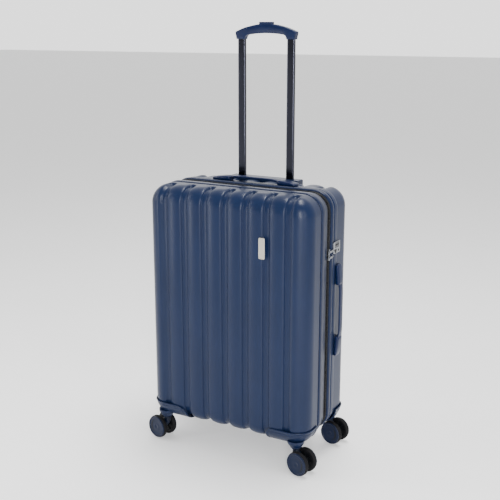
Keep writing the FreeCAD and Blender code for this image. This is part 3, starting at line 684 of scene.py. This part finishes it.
def badge_plate():
    """A small upright plate on the front with a raised, rounded frame."""
    low, high = box_mm("badge")
    middle = (low + high) / 2
    verts, count = [], 44
    half_x, half_z = (high.x - low.x) / 2, (high.z - low.z) / 2
    loops = ((0.0, high.y), (0.0, high.y - 0.9), (0.5, low.y + 0.2), (0.9, low.y), (1.9, low.y),
             (2.3, low.y + 0.2), (2.6, low.y + 0.75), (4.5, low.y + 0.7))
    for inset, y in loops:
        for k in range(count):
            u, v = superellipse(2 * math.pi * (k + 0.5) / count, 0.22)
            verts.append((middle.x + (half_x - inset) * u, y, middle.z + (half_z - inset) * v))
    last = (len(loops) - 1) * count
    faces = grid_faces(len(loops), count, closed=True)
    faces += [tuple(range(count)), tuple(range(last, last + count))]
    add_mesh("badge_plate", verts, faces, "front_half", [silver], ["badge"])


badge_plate()


# ---------------------------------------------------------------- caster housings

housing_low, housing_high = box_mm("caster_housing_front_right")
HOUSING_ROLL = 43.0
HOUSING_CORE_X = housing_high.x - HOUSING_ROLL
HOUSING_CORE_Y = -housing_low.y - HOUSING_ROLL
HOUSING_FLOOR = BOTTOM - 3
HOUSING_CORE_Z = HOUSING_FLOOR + HOUSING_ROLL
INNER_X = housing_low.x
INNER_Y = -housing_high.y
SWIVEL_X, SWIVEL_Y = 184.0, 96.0
CASTER = {"front_left": (-1, -1), "front_right": (1, -1), "back_left": (-1, 1), "back_right": (1, 1)}
HALF_OF = {"front_left": "front_half", "front_right": "front_half",
           "back_left": "back_half", "back_right": "back_half"}


def housing_skin():
    """The front right corner's cover: round the corner from the face to the side, then under."""
    first = math.asin((HOUSING_CORE_Z - housing_high.z) / HOUSING_ROLL)
    phis = [first + (math.pi / 2 - first) * (k / 40) for k in range(41)]
    tail = 24.0
    front_run = HOUSING_CORE_X - INNER_X
    side_run = HOUSING_CORE_Y - INNER_Y
    away = 60.0
    stations = [("front", k / 24) for k in range(25)]
    stations += [("corner", k / 17) for k in range(1, 17)]
    stations += [("side", k / 12) for k in range(13)]
    verts = []
    for phi in phis:
        s = (phi - first) * HOUSING_ROLL
        back_off = tail - math.sqrt(tail ** 2 - max(tail - s, 0.0) ** 2)
        for kind, t in stations:
            if kind == "front":
                along = INNER_X + back_off + (front_run - back_off) * t
                base = Vector((along, -HOUSING_CORE_Y, HOUSING_CORE_Z))
                out = Vector((0, -math.cos(phi), -math.sin(phi)))
                edge = along - INNER_X - back_off
            elif kind == "corner":
                a = t * math.pi / 2
                base = Vector((HOUSING_CORE_X, -HOUSING_CORE_Y, HOUSING_CORE_Z))
                out = Vector((math.cos(phi) * math.sin(a), -math.cos(phi) * math.cos(a), -math.sin(phi)))
                edge = away
            else:
                y = -HOUSING_CORE_Y + side_run * t
                base = Vector((HOUSING_CORE_X, y, HOUSING_CORE_Z))
                out = Vector((math.cos(phi), 0, -math.sin(phi)))
                edge = -INNER_Y - y
            near = min(s, edge, away)
            lip = 0.55 * (1 - smoothstep(2.4, 4.2, near)) - 0.9 * (1 - smoothstep(0.0, 1.6, near))
            groove = -1.5 * smoothstep(5.6, 6.6, near) * (1 - smoothstep(7.6, 8.8, near))
            panel = -0.7 * smoothstep(6.6, 8.0, near)
            rise = (lip + groove + panel) * (1 - smoothstep(38, 50, s)) * (0.35 + 0.65 * math.cos(phi))
            verts.append(tuple(base + out * (HOUSING_ROLL + rise)))
    return verts, grid_faces(len(phis), len(stations))


def housing(corner):
    """One corner's cover, with its floor, cone and collar."""
    sx, sy = CASTER[corner]
    across, deep = 14, 8
    floor_verts = []
    for j in range(deep + 1):
        for i in range(across + 1):
            floor_verts.append((INNER_X + (HOUSING_CORE_X - INNER_X) * i / across,
                                -HOUSING_CORE_Y + (HOUSING_CORE_Y - INNER_Y) * j / deep, HOUSING_FLOOR))
    verts, faces = join([housing_skin(), (floor_verts, grid_faces(deep + 1, across + 1))])
    verts = [(sx * x, -sy * y, zz) for x, y, zz in verts]
    cover = add_mesh("corner_cover_" + corner, verts, faces, HALF_OF[corner], [blue_trim],
                     ["caster_housing_" + corner], sharp=50)
    thicken(cover, 2.2, even=False)
    place = (sx * SWIVEL_X, sy * SWIVEL_Y, 0.0)
    profile = [(9.0, 66), (9.0, 64.2), (12.2, 61.5), (13.8, 62.4), (13.8, 64.4), (14.8, 65.2), (17.4, 68.0),
               (19.6, 71.5), (21.0, 75.5), (21.0, 80), (8.2, 80), (8.2, 66)]
    verts, faces = turned(profile, place, (0, 0, 1), (1, 0, 0), 56)
    add_mesh("corner_boss_" + corner, verts, faces, HALF_OF[corner], [blue_trim])


for corner in CASTER:
    housing(corner)


# ---------------------------------------------------------------- wheels and forks

YAW = math.radians(12)
TRAIL = 19.0
WHEEL = 29.5
UP = Vector((0, 0, 1))


def caster_frame(corner):
    """Swivel point, trailing direction and axle direction of a caster at rest."""
    sx, sy = CASTER[corner]
    trail = Vector((sx * math.cos(YAW), -sx * math.sin(YAW), 0))
    axle = Vector((sx * math.sin(YAW), sx * math.cos(YAW), 0))
    return Vector((sx * SWIVEL_X, sy * SWIVEL_Y, 0)), trail, axle


def wheel(corner, which):
    """Tyre, tread grooves, black inner drum and a dished blue cap with a moulded crescent."""
    place, trail, axle = caster_frame(corner)
    centre = place + trail * TRAIL + UP * WHEEL
    cad_low, cad_high = box_mm(f"wheel_hub_{corner}_{which}")
    middle = (cad_low + cad_high) / 2
    outward = axle if (middle - centre).dot(axle) > 0 else -axle
    body = f"wheel_{corner}_{which}"
    tyre_profile = [(25.0, 10.5), (26.8, 10.5), (28.3, 11.0), (29.2, 12.2), (29.5, 13.4), (29.5, 14.6),
                    (28.9, 14.9), (28.9, 15.5), (29.5, 15.8), (29.5, 17.6), (29.2, 19.2), (28.4, 20.4),
                    (27.6, 20.9), (25.0, 20.9)]
    verts, faces = turned(tyre_profile + [tyre_profile[0]], centre, outward, trail, 72)
    add_mesh(f"tyre_band_{corner}_{which}", verts, faces, body, [black_tyre],
             [f"tyre_{corner}_{which}"])
    drum = [(3.4, 9.5), (8.0, 9.5), (8.8, 10.0), (9.6, 12.6), (21.8, 12.6), (22.4, 10.9), (23.6, 10.5),
            (25.0, 10.7), (25.0, 20.8), (3.4, 20.8)]
    verts, faces = turned(drum + [drum[0]], centre, outward, trail, 64)
    spokes = []
    for k in range(8):
        a = 2 * math.pi * k / 8
        out = trail * math.cos(a) + UP * math.sin(a)
        side = outward.cross(out)
        spokes.append(loft([
            (centre + out * 8.5 + outward * 11.6, side * 0.9, outward * 1.4, 4),
            (centre + out * 15 + outward * 11.8, side * 0.7, outward * 1.2, 4),
            (centre + out * 22.4 + outward * 11.8, side * 0.9, outward * 1.3, 4)], 12))
    verts, faces = join([(verts, faces)] + spokes)
    add_mesh(f"drum_{corner}_{which}", verts, faces, body, [black_inner],
             [f"wheel_hub_{corner}_{which}"])
    cap = [(0.0, 21.6), (4.0, 21.6), (4.8, 22.2), (6.2, 22.5), (8.5, 22.3), (12, 22.0), (17, 22.3),
           (21.4, 23.0), (22.3, 22.5), (22.9, 22.5), (23.6, 23.4), (25.4, 23.9), (26.8, 23.7),
           (27.7, 22.9), (27.8, 21.6), (27.2, 20.95), (25.0, 20.95), (0.0, 20.95)]
    verts, faces = turned(cap, centre, outward, trail, 72)
    mark = []
    for k in range(13):
        a = math.radians(-64 + 128 * k / 12)
        out = trail * math.cos(a) - UP * math.sin(a)
        wide = 2.1 * math.sin(math.pi * (k + 0.6) / 13.2) + 0.15
        mark.append((centre + out * 17.6 + outward * 22.3, out * wide, outward * 0.42, 3))
    add_mesh(f"cap_{corner}_{which}", verts, faces, body, [blue_hub])
    verts, faces = loft(mark, 16)
    add_mesh(f"cap_crescent_{corner}_{which}", verts, faces, body, [black_inner])


def fork(corner):
    """The caster's leg: a rounded hood that comes down from the stem to the axle."""
    place, trail, axle = caster_frame(corner)
    leg = []
    path = [(-0.5, 57.5, 6.2, 5.2), (0.2, 54, 7.4, 6.4), (1.4, 49.5, 8.6, 7.2), (4.2, 44.5, 9.6, 7.6),
            (8.0, 40, 10.2, 7.8), (12.2, 36, 10.2, 7.9), (16, 32.4, 9.8, 8.0), (19, 29.5, 9.0, 8.0),
            (20.6, 27.6, 6.6, 6.6), (21.6, 26.4, 3.2, 4.4)]
    points = [place + trail * a + UP * z for a, z, _, _ in path]
    for i, (_, _, wide, deep) in enumerate(path):
        before, after = points[max(i - 1, 0)], points[min(i + 1, len(points) - 1)]
        ahead = (after - before).normalized()
        side = axle.cross(ahead).normalized()
        leg.append((points[i], side * wide, axle * deep, 3.2))
    boss = [(3.05, -8.0), (8.2, -8.0), (9.0, -7.2), (9.0, 7.2), (8.2, 8.0), (3.05, 8.0), (3.05, -8.0)]
    stem = [(0.0, 46), (6.4, 46), (7.0, 47), (7.0, 55.5), (8.8, 56.4), (9.6, 57.4), (9.6, 59.0), (8.8, 59.8),
            (7.0, 60.4), (7.0, 61.0), (4.0, 61.2), (4.0, 90.4), (3.4, 91), (0.0, 91)]
    verts, faces = join([loft(leg, 32), turned(boss, place + trail * TRAIL + UP * WHEEL, axle, trail, 48),
                         turned(stem, place, UP, trail, 40)])
    add_mesh("fork_" + corner, verts, faces, "caster_" + corner, [blue_fork],
             ["caster_fork_" + corner])


for corner in CASTER:
    fork(corner)
    for which in ("fore", "aft"):
        wheel(corner, which)


# ---------------------------------------------------------------- handles

def handle_frame(node, slide, across, lift):
    """A node's middle, its three directions, half its length and width, its foot and its height."""
    low, high = box_mm(node)
    along, side, up = Vector(slide), Vector(across), Vector(lift)
    size = high - low
    return ((low + high) / 2, along, side, up, size.dot(along) / 2, size.dot(side) / 2,
            low.dot(up), size.dot(up))


def strap_grip(name, node, body, slide, across, lift):
    """A soft carrying handle: a flat bar with rounded ends and a gentle rise along its length."""
    centre, along, side, up, half, half_wide, bottom, rise = handle_frame(node, slide, across, lift)
    stations = []
    count = 40
    for k in range(count + 1):
        t = -1 + 2 * k / count
        t = math.copysign(abs(t) ** 0.8, t)
        end = max(0.0, (abs(t) - 0.9) / 0.1)
        wide = half_wide * (0.86 + 0.14 * smoothstep(0.35, 0.75, abs(t)))
        wide *= math.sqrt(max(1 - end ** 2.2, 0.02))
        wide *= 1.0 - 0.1 * (smoothstep(0.66, 0.72, abs(t)) - smoothstep(0.72, 0.78, abs(t)))
        thick = 1.9 * math.sqrt(max(1 - end ** 3, 0.05)) + 0.5 * (1 - smoothstep(0.3, 0.7, abs(t)))
        height = bottom + 2.4 + (rise - 5.6) * (1 - smoothstep(0.45, 0.93, abs(t)))
        point = centre + along * (half * t) + up * (height - centre.dot(up))
        stations.append((point, side * wide, up * thick, 3.4))
    verts, faces = loft(stations, 24)
    add_mesh(name, verts, faces, body, [blue_grip], [node])


def handle_ends(name, node, body, slide, across, lift):
    """The two ends that hold a carrying handle: low tapered domes with a mouth for the grip."""
    centre, along, side, up, half, wide, bottom, tall = handle_frame(node, slide, across, lift)
    long = 50.0
    parts = []
    for sign in (-1, 1):
        stations = []
        for t, share, rise in ((0.0, 0.30, 0.30), (0.012, 0.62, 0.42), (0.04, 0.84, 0.52), (0.1, 0.95, 0.62),
                               (0.3, 1.0, 0.76), (0.6, 1.0, 0.92), (0.86, 0.99, 1.0), (0.95, 0.95, 0.97),
                               (0.985, 0.88, 0.86), (1.0, 0.74, 0.62)):
            out = half - long * t
            height = tall * rise / 2
            point = centre + along * (sign * out) + up * (bottom + height - centre.dot(up))
            stations.append((point, side * wide * share, up * height, 3.6))
        parts.append(loft(stations, 32))
    verts, faces = join(parts)
    add_mesh(name, verts, faces, body, [blue_grip], [node])


TOP_WAY = ((1, 0, 0), (0, 1, 0), (0, 0, 1))
SIDE_WAY = ((0, 0, 1), (0, 1, 0), (1, 0, 0))
handle_ends("top_handle_ends", "top_handle_mounts", "back_half", *TOP_WAY)
handle_ends("side_handle_ends", "side_handle_mounts", "back_half", *SIDE_WAY)
strap_grip("top_handle", "top_handle_grip", "top_handle", *TOP_WAY)
strap_grip("side_handle", "side_handle_grip", "side_handle", *SIDE_WAY)


def trolley_grip():
    """The pull handle: an arched bar whose ends turn down into the two sleeves."""
    low, high = box_mm("trolley_grip")
    half = high.x
    middle_y = (low.y + high.y) / 2
    deep = (high.y - low.y) / 2
    crown = 19.0
    shoulder = high.z - crown
    steps = (0.05, 0.8, 2.0, 3.2, 4.2, 7, 12, 18, 23, 25.4, 26.6, 28.5, 31, 34, 37, 42, 50, 60, 72)
    places = [step - half for step in steps] + [0.0] + [half - step for step in reversed(steps)]
    sleeve, rim, arch_end, arch = 25.6, 4.2, 46.0, 10.6
    stations = []
    for x in places:
        a = abs(x)
        top = shoulder + crown * (1 - (a / half) ** 2)
        if a > half - rim:
            under = low.z + (shoulder - 2.4 - low.z) * ((a - half + rim) / rim) ** 0.6
        elif a > half - sleeve:
            under = low.z
        elif a > arch_end:
            turn = (half - sleeve - a) / (half - sleeve - arch_end)
            under = low.z + arch * math.sqrt(max(1 - (1 - turn) ** 2, 0.0))
        else:
            under = low.z + arch + 3.4 * (1 - (a / arch_end) ** 2)
        end = max(0.0, (a - half + 2.6) / 2.6)
        thick = deep * (0.93 + 0.07 * smoothstep(20, 60, a)) * math.sqrt(max(1 - 0.75 * end ** 2, 0.1))
        square = 2.7 + 4.3 * smoothstep(44, 58, a)
        stations.append((Vector((x, middle_y, (top + under) / 2)), Vector((0, thick, 0)),
                         Vector((0, 0, (top - under) / 2)), square))
    verts, faces = loft(stations, 40)
    add_mesh("pull_handle", verts, faces, "trolley", [blue_grip], ["trolley_grip"], sharp=55)


trolley_grip()


# ---------------------------------------------------------------- inside

def divider():
    """The divider across the front half: cloth pulled flat, with a bound edge."""
    panel_low, panel_high = box_mm("divider_panel")
    y = (panel_low.y + panel_high.y) / 2
    columns, rows = 44, 60
    half = (panel_high.x - panel_low.x) / 2
    tall = panel_high.z - panel_low.z
    corner = 34.0
    middle = (panel_high.z + panel_low.z) / 2
    verts = []
    for j in range(rows + 1):
        v = -1 + 2 * j / rows
        for i in range(columns + 1):
            u = -1 + 2 * i / columns
            x, z = half * u, tall / 2 * v
            ax, az = abs(x) - (half - corner), abs(z) - (tall / 2 - corner)
            if ax > 0 and az > 0:
                d = math.hypot(ax, az)
                most = max(ax, az)
                x = math.copysign(half - corner + ax * most / d, x)
                z = math.copysign(tall / 2 - corner + az * most / d, z)
            sag = 1.2 * math.cos(u * math.pi / 2) * math.cos(v * math.pi / 2)
            ripple = (0.22 * math.sin(9 * u + 4 * v) * (1 - abs(u))
                      + 0.18 * math.sin(13 * v - 5 * u) * (1 - abs(v)))
            verts.append((x, y + sag * 0.5 + ripple, middle + z))
    panel = add_mesh("divider_cloth", verts, grid_faces(rows + 1, columns + 1), "front_half",
                     [lining_dark], ["divider_panel"])
    thicken(panel, 1.0, offset=0.0)
    outline = []
    for quarter, (across, upward) in enumerate(((1, 1), (-1, 1), (-1, -1), (1, -1))):
        for k in range(13):
            a = math.pi / 2 * (quarter + k / 12)
            outline.append((across * (half - corner), middle + upward * (tall / 2 - corner),
                            math.cos(a), math.sin(a)))
    profile = ((-9.0, -0.2), (-8.6, 0.9), (-5.0, 1.25), (-1.5, 1.1), (-0.1, 0.0), (-1.5, -1.1),
               (-5.0, -1.25), (-8.6, -0.9))
    verts = [(cx + nx * (corner + out), y + rise, cz + nz * (corner + out))
             for out, rise in profile for cx, cz, nx, nz in outline]
    faces = grid_faces(len(profile), len(outline), closed=True, ring=True)
    add_mesh("divider_binding", verts, faces, "front_half", [binding])


divider()


def strap(label, lean):
    """A flat strap from corner to corner of the back half, with slightly thickened selvedges."""
    low, high = box_mm("cross_straps")
    half, end_gap, selvedge = 12.0, 9, 0.25
    middle_y, middle_z = (low.y + high.y) / 2, (low.z + high.z) / 2
    reach_x, reach_z = high.x - end_gap, (high.z - low.z) / 2 - end_gap
    path = []
    for k in range(33):
        t = -1 + 2 * k / 32
        path.append(Vector((reach_x * t, middle_y + lean * 0.45 - 0.15 * math.cos(7 * t),
                            middle_z + lean * reach_z * t)))
    direction = Vector((reach_x, 0, lean * reach_z)).normalized()
    across = Vector((-direction.z, 0, direction.x))
    verts, columns = [], 9
    for k, point in enumerate(path):
        ahead = (path[min(k + 1, len(path) - 1)] - path[max(k - 1, 0)]).normalized()
        wide = (across - ahead * across.dot(ahead)).normalized()
        up = wide.cross(ahead)
        for c in range(columns):
            t = -1 + 2 * c / (columns - 1)
            verts.append(tuple(point + wide * half * t + up * selvedge * abs(t) ** 6))
    piece = add_mesh("strap_" + label, verts, grid_faces(len(path), columns), "back_half",
                     [strap_cloth], ["cross_straps"])
    thicken(piece, 0.8, offset=0.0)


strap("rising", 1)
strap("falling", -1)


def fabric_hinge():
    """The cloth strip that joins the halves inside the hinge side."""
    verts = []
    rows, columns = 24, 16
    start, end, turn = -20.0, 14.0, 11
    hinge_x = (hinge_low.x + hinge_high.x) / 2
    for r in range(rows + 1):
        z = hinge_low.z + (hinge_high.z - hinge_low.z) * r / rows
        for c in range(columns + 1):
            t = c / columns
            y = start + (end - start) * t
            bow = 1.2 * math.sin(math.pi * t)
            verts.append((hinge_x + 0.6 + bow, y, z))
    strip = add_mesh("hinge_cloth", verts, grid_faces(rows + 1, columns + 1), None,
                     [lining_dark], ["fabric_hinge"])
    thicken(strip, 0.8, offset=0.0)
    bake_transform(strip)


fabric_hinge()


# ---------------------------------------------------------------- floor, light and camera

FLOOR_REACH, FLOOR_Z = 30.0, -0.0005
floor_mesh = bpy.data.meshes.new("floor")
floor_mesh.from_pydata([(x * FLOOR_REACH, y * FLOOR_REACH, FLOOR_Z)
                        for x, y in ((-1, -1), (1, -1), (1, 1), (-1, 1))], [], [(0, 1, 2, 3)])
floor = bpy.data.objects.new("floor", floor_mesh)
bpy.context.scene.collection.objects.link(floor)
paint = Shader("floor_paint", (0.92, 0.92, 0.92), 0.6)
paint.tint(paint.spread(paint.noise(3, 3), 0, 0.3, 0.4, 0.6), (0.95, 0.95, 0.95))
paint.bsdf.inputs["Emission Color"].default_value = (1, 1, 1, 1)
paint.bsdf.inputs["Emission Strength"].default_value = 0.2
floor.data.materials.append(paint.material)


def area_light(name, place, target_height, wide, tall, power):
    """A soft rectangle of light turned to the object's axis."""
    light = bpy.data.lights.new(name, "AREA")
    light.shape = "RECTANGLE"
    light.size, light.size_y = wide, tall
    light.energy = power
    lamp = bpy.data.objects.new(name, light)
    lamp.location = place
    lamp.rotation_euler = (Vector((0, 0, target_height)) - Vector(place)).to_track_quat("-Z", "Y").to_euler()
    lamp.visible_camera = False
    bpy.context.scene.collection.objects.link(lamp)


area_light("side_light", (2.3, -1.4, 1.2), 0.4, 0.4, 2.0, 22)
area_light("top_light", (0.3, 0.3, 2.9), 0.6, 1.4, 0.7, 80)
area_light("right_light", (1.5, -2.4, 1.2), 0.4, 0.3, 1.8, 84)
area_light("left_light", (-2.6, -1.0, 1.5), 0.4, 0.4, 1.9, 26)
area_light("low_light", (-0.95, -1.0, 0.62), 0.5, 0.10, 0.9, 6)

world = bpy.data.worlds.new("studio")
world.use_nodes = True
sky = world.node_tree
direction = sky.nodes.new("ShaderNodeTexCoord")
split = sky.nodes.new("ShaderNodeSeparateXYZ")
sky.links.new(direction.outputs["Generated"], split.inputs["Vector"])


def graded(socket, start, end, low, high):
    """A smooth change of brightness with the direction looked in."""
    grade = sky.nodes.new("ShaderNodeMapRange")
    grade.interpolation_type = "SMOOTHSTEP"
    for key, value in (("From Min", start), ("From Max", end), ("To Min", low), ("To Max", high)):
        grade.inputs[key].default_value = value
    sky.links.new(socket, grade.inputs["Value"])
    return grade.outputs["Result"]


product = sky.nodes.new("ShaderNodeMath")
product.operation = "MULTIPLY"
sky.links.new(graded(split.outputs["Y"], -0.4, 0.75, 0.42, 2.0), product.inputs[0])
sky.links.new(graded(split.outputs["X"], 0.0, 0.42, 1.0, 0.6), product.inputs[1])
sky.links.new(product.outputs["Value"], sky.nodes["Background"].inputs["Strength"])
sky.nodes["Background"].inputs["Color"].default_value = (1, 1, 1, 1)
bpy.context.scene.world = world

lens = bpy.data.cameras.new("camera")
lens.lens = 63.9
lens.sensor_width = 36.0
camera = bpy.data.objects.new("camera", lens)
target = Vector((0.0053, 0.0, 0.5001))
azimuth, elevation, distance = math.radians(29.36), math.radians(14.09), 2.168
camera.location = target + distance * Vector((math.sin(azimuth) * math.cos(elevation),
                                              -math.cos(azimuth) * math.cos(elevation),
                                              math.sin(elevation)))
camera.rotation_euler = (target - camera.location).to_track_quat("-Z", "Y").to_euler()
bpy.context.scene.collection.objects.link(camera)
bpy.context.scene.camera = camera
